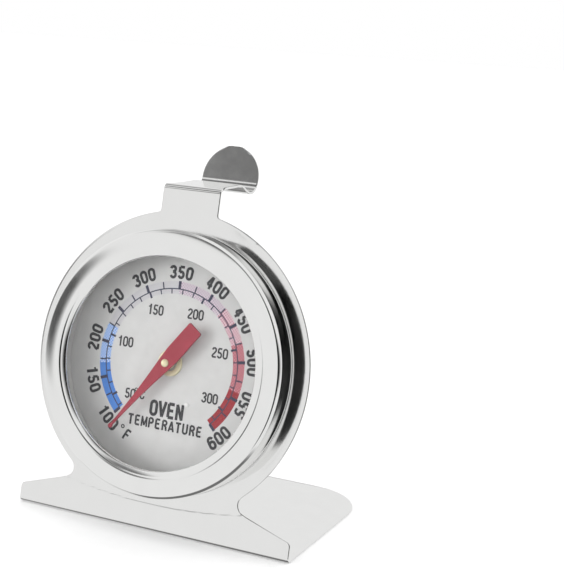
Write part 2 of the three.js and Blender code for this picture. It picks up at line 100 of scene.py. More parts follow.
# ------------------------------------------------------------------ mesh helpers
def grid_faces(rows, columns, close_rows=False, close_columns=False):
    """The quads of a grid whose points are stored row by row; it may close on itself either way."""
    i = np.arange(rows if close_rows else rows - 1)[:, None]
    j = np.arange(columns if close_columns else columns - 1)[None, :]
    i_next = (i + 1) % rows
    j_next = (j + 1) % columns
    row, next_row = i * columns, i_next * columns
    corners = (row + j, row + j_next, next_row + j_next, next_row + j)
    return np.stack(np.broadcast_arrays(*corners), -1).reshape(-1, 4)


def joined(parts):
    """Several (points, faces) pairs as one pair."""
    points, faces, start = [], [], 0
    for some_points, some_faces in parts:
        points.append(some_points)
        faces.extend((np.asarray(some_faces) + start).tolist())
        start += len(some_points)
    return np.concatenate(points), faces


def piece(name, surface, look, body, replaces=(), faces_out=True, towards=None):
    """A mesh object from (points, faces). Doubled points are merged, so seams and poles close, and
    the faces are turned outwards, or towards a direction where the surface is an open sheet."""
    points, faces = surface
    mesh = bpy.data.meshes.new(name)
    mesh.from_pydata(np.asarray(points).tolist(), [], np.asarray(faces, dtype=object).tolist())
    shape = bmesh.new()
    shape.from_mesh(mesh)
    bmesh.ops.remove_doubles(shape, verts=shape.verts, dist=2e-7)
    bmesh.ops.dissolve_degenerate(shape, dist=1e-8, edges=shape.edges)
    if faces_out:
        bmesh.ops.recalc_face_normals(shape, faces=shape.faces)
    if towards is not None:
        facing = sum((f.normal * f.calc_area() for f in shape.faces), shape.faces[:][0].normal * 0)
        if facing.dot(towards) < 0:
            bmesh.ops.reverse_faces(shape, faces=shape.faces)
    shape.to_mesh(mesh)
    shape.free()
    mesh.polygons.foreach_set("use_smooth", np.ones(len(mesh.polygons), bool))
    for one in look if isinstance(look, (list, tuple)) else [look]:
        mesh.materials.append(one)
    made = bpy.data.objects.new(name, mesh)
    bpy.context.scene.collection.objects.link(made)
    if body:
        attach(made, body)
    if replaces:
        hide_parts(*replaces)
    return made


def walled(made, thickness, offset=0.0):
    """Gives an open sheet its wall, in mm; offset -1 puts it all behind the sheet's face."""
    wall = made.modifiers.new("wall", "SOLIDIFY")
    wall.thickness = thickness * MM
    wall.offset = offset
    wall.use_even_offset = True
    return made


def eased(made, width, segments=2, angle=38):
    """Rounds the sharp edges, as a barrelled or deburred edge is, and keeps the flats flat."""
    edge = made.modifiers.new("edge", "BEVEL")
    edge.width = width * MM
    edge.segments = segments
    edge.limit_method = "ANGLE"
    edge.angle_limit = math.radians(angle)
    edge.use_clamp_overlap = False
    edge.harden_normals = True
    return made


def flats_kept(made):
    """Shades each flat as a flat, by weighting the normals with the faces' areas."""
    weighted = made.modifiers.new("flats", "WEIGHTED_NORMAL")
    weighted.keep_sharp = True
    weighted.weight = 80
    return made


def softened(corners, reach, steps=4, closed=True):
    """A profile whose corners are parabola arcs. Each arc leaves the straight side "reach" before the
    corner and meets the next side "reach" after it: P(t) = (1-t)^2 A + 2t(1-t) C + t^2 B."""
    corners = np.asarray(corners, float)
    before = np.roll(corners, 1, 0) - corners
    after = np.roll(corners, -1, 0) - corners
    reach = np.broadcast_to(np.asarray(reach, float), len(corners))
    length_before = np.linalg.norm(before, axis=1)
    length_after = np.linalg.norm(after, axis=1)
    start = before / length_before[:, None] * np.minimum(reach, 0.48 * length_before)[:, None]
    end = after / length_after[:, None] * np.minimum(reach, 0.48 * length_after)[:, None]
    if not closed:
        start[[0, -1]] = 0
        end[[0, -1]] = 0
    t = np.linspace(0, 1, steps + 1)[None, :, None]
    curve = corners[:, None] + (1 - t) ** 2 * start[:, None] + t**2 * end[:, None]
    curve = curve.reshape(-1, 2)
    keep = np.ones(len(curve), bool)
    keep[1:] = np.linalg.norm(np.diff(curve, axis=0), axis=1) > 1e-6
    return curve[keep]


def arc(centre_x, centre_y, radius, start, end, steps):
    """Points of an arc, its angles in degrees from the first axis towards the second."""
    angle = np.radians(np.linspace(start, end, steps + 1))
    return np.stack([centre_x + radius * np.cos(angle), centre_y + radius * np.sin(angle)], -1)


def turned(profile, segments=180, closed=True, centre=(0.0, 0.0)):
    """A surface of revolution: each (radius, forward) point of the profile is carried round the
    dial's axis, or round an axis beside it, x = r sin a, up = r cos a."""
    profile = np.asarray(profile, float)
    angle = np.linspace(0, 2 * np.pi, segments, endpoint=False)[None, :]
    radius = profile[:, 0][:, None]
    points = on_head(
        centre[0] + radius * np.sin(angle), centre[1] + radius * np.cos(angle), profile[:, 1][:, None]
    )
    return points, grid_faces(len(profile), segments, closed, True)


# ------------------------------------------------------------------ material helpers
def linear(colour, alpha=1.0):
    """An sRGB hex colour as linear RGBA."""
    value = np.array([int(colour[i : i + 2], 16) for i in (1, 3, 5)]) / 255
    value = np.where(value <= 0.04045, value / 12.92, ((value + 0.055) / 1.055) ** 2.4)
    return (*value.tolist(), alpha)


def add(tree, kind, inputs=None, **settings):
    """Adds a node, with its settings, and its inputs set or linked by socket name or number."""
    made = tree.nodes.new("ShaderNode" + kind)
    for key, value in settings.items():
        setattr(made, key, value)
    for key, value in (inputs or {}).items():
        if isinstance(value, bpy.types.NodeSocket):
            tree.links.new(value, made.inputs[key])
        else:
            made.inputs[key].default_value = value
    return made


def finish_of(name, constants):
    """A material with one Principled shader whose constants are set on its own sockets."""
    made = bpy.data.materials.new(name)
    made.use_nodes = True
    tree = made.node_tree
    tree.nodes.clear()
    shader = add(tree, "BsdfPrincipled", constants)
    add(tree, "OutputMaterial", {"Surface": shader.outputs["BSDF"]})
    return made, tree, shader


def place_of(tree, scale=(1.0, 1.0, 1.0), turn=(0.0, 0.0, 0.0)):
    """Object coordinates in millimetres, turned and stretched for a pattern."""
    coordinates = add(tree, "TexCoord")
    return add(
        tree,
        "Mapping",
        {
            "Vector": coordinates.outputs["Object"],
            "Rotation": turn,
            "Scale": tuple(1000 * s for s in scale),
        },
    ).outputs["Vector"]


def ramp_of(tree, value, low, high, from_min=0.0, from_max=1.0):
    """A value carried from one range to another."""
    return add(
        tree,
        "MapRange",
        {"Value": value, "From Min": from_min, "From Max": from_max, "To Min": low, "To Max": high},
    ).outputs["Result"]


def tinted(tree, factor, first, second):
    """Two sRGB colours mixed by a factor."""
    return add(
        tree, "Mix", {0: factor, 6: linear(first), 7: linear(second)}, data_type="RGBA"
    ).outputs[2]


def steel(name, light, dark, shine, spread, ripple, scratch):
    """Stainless sheet: its colour drifts a little, its roughness is cloudy over about 4 mm with fine
    polishing lines 0.25 mm apart, and long shallow ripples from rolling bend what it reflects."""
    made, tree, shader = finish_of(name, {"Metallic": 1.0})
    cloud = add(tree, "TexNoise", {"Vector": place_of(tree), "Scale": 0.25, "Detail": 3.0})
    lines = add(
        tree,
        "TexNoise",
        {"Vector": place_of(tree, (4.0, 4.0, 0.06)), "Scale": 1.0, "Detail": 2.0},
    )
    waves = add(tree, "TexNoise", {"Vector": place_of(tree), "Scale": 0.07, "Detail": 1.0})
    colour = tinted(tree, cloud.outputs["Fac"], dark, light)
    tree.links.new(colour, shader.inputs["Base Color"])
    mixed = add(
        tree,
        "Math",
        {0: cloud.outputs["Fac"], 1: lines.outputs["Fac"]},
        operation="ADD",
    ).outputs[0]
    rough = ramp_of(tree, mixed, shine, shine + spread, 0.7, 1.3)
    tree.links.new(rough, shader.inputs["Roughness"])
    broad = add(
        tree,
        "Bump",
        {"Height": waves.outputs["Fac"], "Strength": 1.0, "Distance": ripple * MM},
    )
    fine = add(
        tree,
        "Bump",
        {
            "Height": lines.outputs["Fac"],
            "Strength": 1.0,
            "Distance": scratch * MM,
            "Normal": broad.outputs["Normal"],
        },
    )
    tree.links.new(fine.outputs["Normal"], shader.inputs["Normal"])
    return made


def paint(name, colour, shade, rough, grain, depth, metallic=0.0):
    """A coat on metal: two near shades in soft clouds, and a fine grain that breaks up its shine."""
    made, tree, shader = finish_of(name, {"Metallic": metallic})
    cloud = add(tree, "TexNoise", {"Vector": place_of(tree), "Scale": 0.35, "Detail": 4.0})
    speck = add(tree, "TexNoise", {"Vector": place_of(tree), "Scale": 1 / grain, "Detail": 2.0})
    mixed = ramp_of(tree, cloud.outputs["Fac"], 0.0, 1.0, 0.3, 0.7)
    tree.links.new(tinted(tree, mixed, colour, shade), shader.inputs["Base Color"])
    tree.links.new(
        ramp_of(tree, speck.outputs["Fac"], rough - 0.06, rough + 0.06, 0.3, 0.7),
        shader.inputs["Roughness"],
    )
    bump = add(
        tree, "Bump", {"Height": speck.outputs["Fac"], "Strength": 1.0, "Distance": depth * MM}
    )
    tree.links.new(bump.outputs["Normal"], shader.inputs["Normal"])
    return made


def halftone(name, ink, ground, coverage, pitch=0.5):
    """A printed tint: round dots of ink in rows 0.5 mm apart at 45 degrees, on the dial's lacquer.
    A point is inked where sin(u) sin(v) + 0.5 passes the tint's coverage."""
    made, tree, shader = finish_of(name, {"Metallic": 0.0, "Roughness": 0.5})
    turn = place_of(tree, (1 / pitch,) * 3, (LEAN, math.radians(45), 0.0))
    wave = add(
        tree, "VectorMath", {0: turn, 1: (2 * math.pi,) * 3}, operation="MULTIPLY"
    ).outputs[0]
    parts = add(tree, "SeparateXYZ", {0: wave})
    u = add(tree, "Math", {0: parts.outputs["X"]}, operation="SINE").outputs[0]
    v = add(tree, "Math", {0: parts.outputs["Z"]}, operation="SINE").outputs[0]
    both = add(tree, "Math", {0: u, 1: v}, operation="ADD").outputs[0]
    edge = ramp_of(tree, both, 0.0, 1.0, 1.0 - 2 * coverage - 0.15, 1.0 - 2 * coverage + 0.15)
    tree.links.new(tinted(tree, edge, ground, ink), shader.inputs["Base Color"])
    return made


# Polished 430 stainless sheet, pressed and folded: bright, nearly colourless, slightly wavy.
polished_steel = steel("polished_stainless", "#f1f1f0", "#ececeb", 0.09, 0.05, 0.006, 0.0003)
# The bezel's steel is buffed after it is spun, so it is the brightest and has the sharpest shine.
buffed_steel = steel("buffed_stainless", "#f3f3f2", "#eeeeed", 0.07, 0.04, 0.004, 0.0002)
# Drawn stainless of the can: a little warmer and softer than the stand's.
drawn_steel = steel("drawn_stainless", "#d8d5d2", "#c9c6c4", 0.2, 0.12, 0.015, 0.0008)
# Plain strip steel of the washers and the coil's anchor: grey and dull.
strip_steel = steel("strip_steel", "#b4b4b4", "#9c9c9c", 0.32, 0.12, 0.01, 0.001)
# The cut edge of the bezel's flange: rubbed matt, so it stays light where the steel mirrors dark.
rubbed_edge = paint("rubbed_edge", "#dededd", "#d2d2d1", 0.5, 0.3, 0.002, 0.1)
# Tinned strip of the spacer: pale and matt, so the dial's edge stays light.
satin_tin = paint("satin_tin", "#d9d9d8", "#cfcfce", 0.45, 0.4, 0.002, 0.25)
# Brass under thin nickel: cream-coloured, softly shining.
pale_brass = paint("nickelled_brass", "#e2dabb", "#cfc59f", 0.36, 0.4, 0.002, 0.35)
# Bimetal strip of two rolled alloys: brownish grey with a dull sheen.
bimetal_strip = paint("rolled_bimetal", "#8f8676", "#776c5a", 0.42, 0.3, 0.002, 0.9)
# Baked enamel on the pointer: satin red.
red_enamel = paint("red_enamel", "#9c2438", "#901e31", 0.42, 0.5, 0.003)
# Aluminium dial under silver-grey lacquer: even, satin, with a faint grain.
silver_lacquer = paint("silver_lacquer", "#cdcdcc", "#c6c6c5", 0.5, 0.25, 0.0015, 0.1)
# Screen-printed inks on the dial, matt and slightly uneven.
black_ink = paint("black_ink", "#2a2a2e", "#222226", 0.55, 0.3, 0.001)
line_ink = paint("blue_black_ink", "#2b2d48", "#25273e", 0.55, 0.3, 0.001)
blue_ink = paint("blue_ink", "#4280d2", "#3b76c6", 0.5, 0.3, 0.001)
red_ink = paint("red_ink", "#9a1322", "#8d101e", 0.5, 0.3, 0.001)
light_blue_tint = halftone("light_blue_tint", "#5a92dc", "#c9d6ea", 0.55)
pale_tint = paint("pale_grey_tint", "#c3c2c5", "#bdbcc0", 0.52, 0.3, 0.001)
lavender_tint = halftone("lavender_tint", "#a898a8", "#d4c8d0", 0.45)
pink_tint = halftone("pink_tint", "#a64c62", "#e0ccd4", 0.4)
deep_pink_tint = halftone("deep_pink_tint", "#9c2436", "#d6a2ac", 0.6)


def window_glass():
    """Soda-lime glass, float-polished: clear, with a light sheen, and it lets the lamps through."""
    made, tree, shader = finish_of(
        "window_glass",
        {"Transmission Weight": 1.0, "IOR": 1.3, "Base Color": linear("#fefefe")},
    )
    smear = add(tree, "TexNoise", {"Vector": place_of(tree), "Scale": 0.12, "Detail": 3.0})
    tree.links.new(
        ramp_of(tree, smear.outputs["Fac"], 0.0, 0.02, 0.35, 0.75), shader.inputs["Roughness"]
    )
    clear = add(tree, "BsdfTransparent", {"Color": linear("#fbfbfb")})
    ray = add(tree, "LightPath")
    mix = add(
        tree,
        "MixShader",
        {0: ray.outputs["Is Shadow Ray"], 1: shader.outputs["BSDF"], 2: clear.outputs["BSDF"]},
    )
    out = next(n for n in tree.nodes if n.type == "OUTPUT_MATERIAL")
    tree.links.new(mix.outputs["Shader"], out.inputs["Surface"])
    return made


# ------------------------------------------------------------------ stand: one folded sheet
BASE_HALF_WIDTH = 35.5
BASE_END_HEIGHT = 5.0
BASE_CORNER = 1.2
SHOULDER_SLOPE = 17.5
WAIST_FILLET = 2.3
FOOT_CORNER = 13.0
FOOT_BEND = 1.2
TAB_HALF_WIDTH = 7.4
TAB_TOP = 79.9
TAB_BEND = 1.3
TAB_ROOT = 0.8
HOOK_END_RADIUS = 7.5
HOOK_NECK_HALF_WIDTH = 6.1
HOOK_FLAT = 11.2
HOOK_CENTRE = 30.4
HOOK_TOP = 86.6
BEAD_FRONT_RADIUS = 1.0
BEAD_RADIUS = 3.2
BEAD_SLOPE = 45.0
FLAP_SLOPE = 73.0


def plate_outline():
    """Right edge of the plate as (x, height) points going up: base end, rounded corner, shoulder
    line, waist fillet that touches the shoulder and the disc, the disc's circle, and the tab."""
    corner = arc(BASE_HALF_WIDTH - BASE_CORNER, BASE_END_HEIGHT - BASE_CORNER, BASE_CORNER,
                 0, 90 - SHOULDER_SLOPE, 6)
    slope = math.radians(SHOULDER_SLOPE)
    inward = np.array([-math.cos(slope), math.sin(slope)])
    normal = np.array([math.sin(slope), math.cos(slope)])
    middle = np.array([0.0, HEAD_HEIGHT])
    start = corner[-1] + WAIST_FILLET * normal - middle
    b = inward @ start
    along = -b - math.sqrt(b * b - start @ start + (DISC_RADIUS + WAIST_FILLET) ** 2)
    waist = middle + start + along * inward
    to_disc = math.degrees(math.atan2(HEAD_HEIGHT - waist[1], -waist[0]))
    fillet = arc(*waist, WAIST_FILLET, -90 - SHOULDER_SLOPE, to_disc - (360 if to_disc > 0 else 0), 12)
    touch = fillet[-1] - middle
    # the tab's root: a small fillet between the disc's circle and the tab's side
    root_x = TAB_HALF_WIDTH + TAB_ROOT
    root_up = math.sqrt((DISC_RADIUS + TAB_ROOT) ** 2 - root_x**2)
    meets = math.degrees(math.atan2(root_up, root_x))
    disc = arc(*middle, DISC_RADIUS, math.degrees(math.atan2(touch[1], touch[0])), meets, 150)
    root = arc(root_x, HEAD_HEIGHT + root_up, TAB_ROOT, 180 + meets, 180, 6)
    return np.concatenate([corner, fillet, disc[1:], root[1:]])


def folded_sheet():
    """The stand's middle surface. A path in the y-z plane runs along the foot, round the bottom
    fold, up the plate, round the top fold, along the hook, through the bead and up the flap. Each
    point of the path carries a row from the inner edge (the middle line, or the hole) to the sheet's
    outline; x = inner + u (outline - inner). The left half is the right half mirrored."""
    up_plate = math.pi / 2 - LEAN
    bottom = FOOT_BEND / math.tan(up_plate / 2)
    top = TAB_BEND * math.tan(up_plate / 2)
    half_sheet = SHEET / 2
    shift = CENTRE[1] / MM - HEAD_HEIGHT * math.sin(LEAN)
    along_plate = np.array([math.sin(LEAN), math.cos(LEAN)])
    out_of_plate = np.array([-math.cos(LEAN), math.sin(LEAN)])

    # foot, from its rear edge to the fold
    corner = np.linspace(88, 0, 24)
    corner_y = FOOT_DEPTH - FOOT_CORNER + FOOT_CORNER * np.sin(np.radians(corner))
    corner_w = BASE_HALF_WIDTH - FOOT_CORNER + FOOT_CORNER * np.cos(np.radians(corner))
    straight = np.linspace(FOOT_DEPTH - FOOT_CORNER, bottom, 16)[1:]
    foot_y = np.concatenate([corner_y, straight])
    foot_w = np.concatenate([corner_w, np.full(len(straight), BASE_HALF_WIDTH)])
    foot = np.stack([foot_y, np.full(len(foot_y), half_sheet)], -1)

    # bottom fold
    r = FOOT_BEND - half_sheet
    turn = np.linspace(0, math.pi - up_plate, 13)[1:-1]
    fold = np.stack([bottom - r * np.sin(turn), half_sheet + r * (1 - np.cos(turn))], -1)

    # plate: rows where the outline, the hole or the pressed crease needs them
    outline = plate_outline()
    hole = HEAD_HEIGHT - HOLE_RADIUS * np.cos(np.linspace(0, math.pi, 121))
    heights = np.concatenate([
        [bottom, 2.0, 3.0], outline[:, 1], hole, np.arange(5.2, 12, 0.3),
        np.linspace(outline[-1, 1], TAB_TOP - top, 5),
    ])
    heights = np.unique(np.round(heights, 4))
    fixed = np.isin(heights, np.round([HEAD_HEIGHT - HOLE_RADIUS, HEAD_HEIGHT + HOLE_RADIUS], 4))
    kept = [heights[0]]
    for height, needed in zip(heights[1:], fixed[1:]):
        if needed and height - kept[-1] < 0.05:
            kept[-1] = height
        elif needed or height - kept[-1] >= 0.05:
            kept.append(height)
    s = np.array(kept)
    s[-1] = TAB_TOP - top
    lowest = outline[0, 1]
    plate_w = np.where(s < lowest, BASE_HALF_WIDTH, np.interp(s, outline[:, 1], outline[:, 0]))
    on_disc = (s > HEAD_HEIGHT - 20) & (s < HEAD_HEIGHT + 33)
    plate_w = np.where(
        on_disc, np.sqrt(np.maximum(DISC_RADIUS**2 - (s - HEAD_HEIGHT) ** 2, 1)), plate_w
    )
    plate = s[:, None] * along_plate - half_sheet * out_of_plate
    plate_in = np.sqrt(np.maximum(HOLE_RADIUS**2 - (s - HEAD_HEIGHT) ** 2, 0))
    plate_in[plate_in < 0.2] = 0

    # top fold, hook, bead and flap, as a turning path
    corner_point = TAB_TOP * along_plate
    fold_start = plate[-1]
    heading = up_plate
    path = [fold_start]
    widths = [TAB_HALF_WIDTH]

    def straight_on(length, steps):
        step = np.array([math.cos(heading), math.sin(heading)]) * length / steps
        for _ in range(steps):
            path.append(path[-1] + step)

    def turn_by(radius, angle, steps):
        nonlocal heading
        side = math.copysign(1, angle)
        here = path[-1]
        middle = here + side * radius * np.array([-math.sin(heading), math.cos(heading)])
        for k in range(1, steps + 1):
            now = heading + angle * k / steps
            path.append(middle - side * radius * np.array([-math.sin(now), math.cos(now)]))
        heading += angle

    turn_by(TAB_BEND - half_sheet, -up_plate, 12)
    fold_rows = len(path)
    straight_on(HOOK_FLAT, 16)
    turn_by(BEAD_FRONT_RADIUS, -math.radians(BEAD_SLOPE), 6)
    straight_on(0.9, 2)
    turn_by(BEAD_RADIUS, math.radians(BEAD_SLOPE + FLAP_SLOPE), 22)
    bead_end = path[-1]
    end_z = HOOK_TOP - HOOK_END_RADIUS
    rise = np.linspace(math.asin((bead_end[1] - end_z) / HOOK_END_RADIUS), math.radians(87), 26)
    flap_z = end_z + HOOK_END_RADIUS * np.sin(rise[1:])
    flap_y = bead_end[0] + (flap_z - bead_end[1]) / math.tan(heading)
    path.extend(np.stack([flap_y, flap_z], -1))
    hook = np.array(path[1:])
    y, z = hook[:, 0], hook[:, 1]
    neck = np.interp(
        y,
        corner_point[0] + TAB_BEND + np.array([0.0, 0.7, 1.5, 2.8, 5.0]),
        [TAB_HALF_WIDTH, 7.0, 6.65, 6.3, HOOK_NECK_HALF_WIDTH],
    )
    round_end = np.sqrt(np.maximum(HOOK_END_RADIUS**2 - np.maximum(HOOK_CENTRE - y, 0) ** 2, 0))
    hook_w = np.maximum(neck, round_end)
    hook_w = np.where(
        z > end_z, np.sqrt(np.maximum(HOOK_END_RADIUS**2 - (z - end_z) ** 2, 0.15)), hook_w
    )

    rows = np.concatenate([foot, fold, plate, hook])
    width = np.concatenate([foot_w, np.full(len(fold), BASE_HALF_WIDTH), plate_w, hook_w])
    inner = np.concatenate([np.zeros(len(foot) + len(fold)), plate_in, np.zeros(len(hook))])
    height = np.concatenate([np.full(len(foot) + len(fold), -9.0), s, np.full(len(hook), 99.0)])

    u = np.linspace(0, 1, 15)
    x = inner[:, None] + u * (width - inner)[:, None]
    crease = crease_step(x, height[:, None])
    yz = rows[:, None, :] + crease[..., None] * out_of_plate
    parts = []
    for side in (1, -1):
        points = np.stack([side * x, yz[..., 0] + shift, yz[..., 1]], -1).reshape(-1, 3) * MM
        quads = grid_faces(len(rows), len(u))
        parts.append((points, quads if side > 0 else quads[:, ::-1]))
    return joined(parts)


def crease_step(x, height):
    """The disc's part of the plate is pressed a hair behind the base: a smooth step of 0.16 mm along
    a wide arc, height = 6.3 + x^2 / 264."""
    across = (height - 6.3 - x**2 / 264) / 0.45
    return -0.16 / (1 + np.exp(-np.clip(across, -20, 20) * 4)) + edge_lift(x, height)


def smooth_step(value, low, high):
    """0 below low, 1 above high, and 3t^2 - 2t^3 between them."""
    t = np.clip((value - low) / (high - low), 0, 1)
    return t * t * (3 - 2 * t)


def edge_lift(x, height):
    """The disc is dished: outside the bezel it rises as a cone of 5.5 degrees towards its free edge,
    where it turns back as a parabola. The rise dies away towards the tab and the base."""
    radius = np.hypot(x, height - HEAD_HEIGHT)
    rise = 0.096 * np.maximum(radius - 31.0, 0) * smooth_step(radius, 30.6, 31.8)
    turned_back = 0.26 * np.maximum(radius - 34.3, 0) ** 2
    free = smooth_step(np.abs(x), 9.0, 18.0) * smooth_step(height, 12.0, 20.0)
    return (rise - turned_back) * free


stand = piece(
    "stand_sheet", folded_sheet(), polished_steel, "stand", ["stand_bracket"],
    faces_out=True,
)
walled(stand, SHEET)
eased(stand, 0.22, 4)

# ------------------------------------------------------------------ bezel, lens, spacer
BEZEL_RADIUS = 30.45
BEZEL_SHEET = 0.5
BEZEL_OPENING = 24.2
BEZEL_CROWN = 26.6
BEZEL_FRONT = 6.15


def bezel_profile():
    """Section of the spun ring: a foot turned in behind, with a small flange on the disc, a straight
    skirt, a narrow chamfer, a broad crown that rises to the inside as a parabola, and a lip turned
    down on the lens; then the same line back inside."""
    skirt_in = BEZEL_RADIUS - BEZEL_SHEET
    grip = CASE_FRONT_RADIUS + 0.05
    foot_r = BEZEL_RADIUS + 0.12
    lip = LENS_FRONT + 0.05
    crown_r = np.linspace(29.5, BEZEL_CROWN, 14)
    crown = np.stack([crown_r, BEZEL_FRONT - 0.015 * (crown_r - BEZEL_CROWN) ** 2], -1)
    edge = softened(
        [[BEZEL_RADIUS, 4.3], [BEZEL_RADIUS, 5.2], [29.92, 5.98], crown[0]],
        [0, 0.12, 0.2, 0], 5, closed=False,
    )
    inner = arc(BEZEL_CROWN, BEZEL_FRONT - 2.6, 2.6, 90, 118, 6)[1:]
    throat = arc(BEZEL_OPENING + 0.5, BEZEL_FRONT - 0.86, 0.5, 118, 180, 6)
    return np.concatenate([
        [[grip, 0.02], [foot_r - 0.03, 0.02], [foot_r, 0.05], [foot_r, 0.1], [foot_r - 0.03, 0.13]],
        [[BEZEL_RADIUS + 0.03, 0.14], [BEZEL_RADIUS, 0.18], [BEZEL_RADIUS, 2.4]],
        edge,
        crown[1:],
        inner,
        throat,
        [[BEZEL_OPENING, lip + 0.1], [BEZEL_OPENING + 0.1, lip], [BEZEL_OPENING + BEZEL_SHEET, lip]],
        [[BEZEL_OPENING + BEZEL_SHEET, lip + 0.4], [BEZEL_CROWN, BEZEL_FRONT - BEZEL_SHEET]],
        [[28.4, 5.6], [29.4, 5.4], [skirt_in, 4.9], [skirt_in, 0.6], [grip, 0.53]],
    ])


bezel = piece(
    "bezel", turned(bezel_profile(), 240), [buffed_steel, rubbed_edge], "stand",
    ["bezel_ring"],
)
middles = np.zeros(3 * len(bezel.data.polygons))
bezel.data.polygons.foreach_get("center", middles)
from_centre = (middles.reshape(-1, 3) - CENTRE) / MM
ahead = -from_centre @ BACKWARD
flange = (np.hypot(from_centre @ ACROSS, from_centre @ UP) > BEZEL_RADIUS + 0.01) & (ahead < 0.17)
bezel.data.polygons.foreach_set("material_index", flange.astype(np.int32))

lens_profile = softened(
    [[0, LENS_BACK], [28.8, LENS_BACK], [28.8, LENS_FRONT], [0, LENS_FRONT]], 0.18, 3, closed=False
)
lens = piece("window", turned(lens_profile, 120, closed=False), window_glass(), "stand",
             ["window_lens"])
flats_kept(lens)

SPACER_INNER = 26.7
SPACER_OUTER = 28.8
spacer_back, spacer_front = DIAL_FACE + 0.05, LENS_BACK - 0.05
spacer_profile = softened(
    [
        [SPACER_INNER, spacer_back], [SPACER_OUTER, spacer_back], [SPACER_OUTER, spacer_back + 0.5],
        [SPACER_INNER + 0.5, spacer_back + 0.5], [SPACER_INNER + 0.5, spacer_front - 0.5],
        [SPACER_OUTER, spacer_front - 0.5], [SPACER_OUTER, spacer_front], [SPACER_INNER, spacer_front],
    ],
    0.12,
    3,
)
spacer = piece("spacer", turned(spacer_profile, 180), satin_tin, "stand",
               ["spacer_ring"])
flats_kept(spacer)

# ------------------------------------------------------------------ dial and its print
dial_profile = softened(
    [[1.95, DIAL_FACE], [28.8, DIAL_FACE], [28.8, DIAL_FACE - 0.5], [1.95, DIAL_FACE - 0.5]], 0.06, 2
)
dial = piece("dial", turned(dial_profile, 180), silver_lacquer, "stand",
             ["dial_plate"])
flats_kept(dial)

FIRST_MARK, LAST_MARK = 100, 600
FIRST_ANGLE = -136.5
DEGREES_PER_F = 0.544
SCALE_RADIUS = 17.05
BAND_INNER, BAND_OUTER = 15.9, 18.75
LINE_WIDTH = 0.26
BAND_RAISE, LINE_RAISE, GLYPH_RAISE = 0.012, 0.024, 0.03


def fahrenheit_angle(value):
    """Dial angle of a Fahrenheit mark; the scale is even."""
    return FIRST_ANGLE + DEGREES_PER_F * (np.asarray(value, float) - FIRST_MARK)


def celsius_angle(value):
    return fahrenheit_angle(np.asarray(value, float) * 9 / 5 + 32)


def sector(inner, outer, start, end, raised, steps=24):
    """A flat sector of a ring on the dial: radius by angle."""
    angle = clockwise(np.linspace(start, end, steps + 1))[None, :]
    radius = np.array([inner, outer])[:, None]
    points = on_head(radius * np.cos(angle), radius * np.sin(angle), DIAL_FACE + raised)
    return points, grid_faces(2, steps + 1)


def tick(angle, inner, outer, width, raised):
    """A straight printed tick across the scale: a strip of even width along a radius."""
    a = clockwise(angle)
    along = np.array([math.cos(a), math.sin(a)])
    beside = np.array([-math.sin(a), math.cos(a)]) * width / 2
    corners = np.array([inner * along - beside, outer * along - beside,
                        outer * along + beside, inner * along + beside])
    return on_head(corners[:, 0], corners[:, 1], DIAL_FACE + raised), [[0, 1, 2, 3]]


FORWARD = -BACKWARD


def printed(name, surface, ink):
    """A film of ink on the dial, facing the reader."""
    made = piece(name, surface, ink, "stand", faces_out=False)
    normals = np.zeros(len(made.data.polygons) * 3)
    made.data.polygons.foreach_get("normal", normals)
    wrong = np.nonzero(normals.reshape(-1, 3) @ FORWARD < 0)[0]
    if len(wrong):
        shape = bmesh.new()
        shape.from_mesh(made.data)
        shape.faces.ensure_lookup_table()
        bmesh.ops.reverse_faces(shape, faces=[shape.faces[i] for i in wrong])
        shape.to_mesh(made.data)
        shape.free()
    return made


bands = [
    ("cold_band", 100, 170, blue_ink),
    ("cool_band", 170, 225, light_blue_tint),
    ("mild_band", 225, 350, pale_tint),
    ("warm_band", 350, 425, lavender_tint),
    ("hot_band", 425, 475, pink_tint),
    ("hotter_band", 475, 540, deep_pink_tint),
    ("hottest_band", 540, 600, red_ink),
]
for band_name, low, high, ink in bands:
    low_angle, high_angle = fahrenheit_angle([low, high])
    printed(band_name, sector(BAND_INNER, BAND_OUTER, low_angle, high_angle, BAND_RAISE, 40), ink)

scale_parts = [
    sector(SCALE_RADIUS - LINE_WIDTH / 2, SCALE_RADIUS + LINE_WIDTH / 2,
           FIRST_ANGLE - 0.8, fahrenheit_angle(LAST_MARK) + 0.8, LINE_RAISE, 200)
]
for value in range(FIRST_MARK, LAST_MARK + 1, 25):
    major = value % 50 == 0
    scale_parts.append(
        tick(fahrenheit_angle(value), SCALE_RADIUS, BAND_OUTER + (0.15 if major else -0.1),
             0.7 if major else 0.34, LINE_RAISE + 0.004)
    )
for value in range(40, 320, 10):
    if fahrenheit_angle(FIRST_MARK) <= celsius_angle(value) <= fahrenheit_angle(LAST_MARK):
        major = value % 50 == 0
        scale_parts.append(
            tick(celsius_angle(value), BAND_INNER - (0.25 if major else 0.0), SCALE_RADIUS,
                 0.5 if major else 0.3, LINE_RAISE + 0.008)
        )
printed("scale_lines", joined(scale_parts), line_ink)


# Letters are strokes: a pen of even width carried along straight and curved paths, in a cell 0.56
# wide and 1 high. Each path is a list of points, and (cx, cy, rx, ry, start, end) is an oval arc.
PEN = 0.165
LEFT, RIGHT, MIDDLE = 0.085, 0.475, 0.28
LOW, HIGH = PEN / 2, 1 - PEN / 2


def oval(cx, cy, rx, ry, start, end, steps=14):
    angle = np.radians(np.linspace(start, end, steps + 1))
    return np.stack([cx + rx * np.cos(angle), cy + ry * np.sin(angle)], -1)


def path_of(*parts):
    """Points and oval arcs, in order, as one path."""
    return np.concatenate([np.atleast_2d(np.asarray(p, float)) for p in parts])


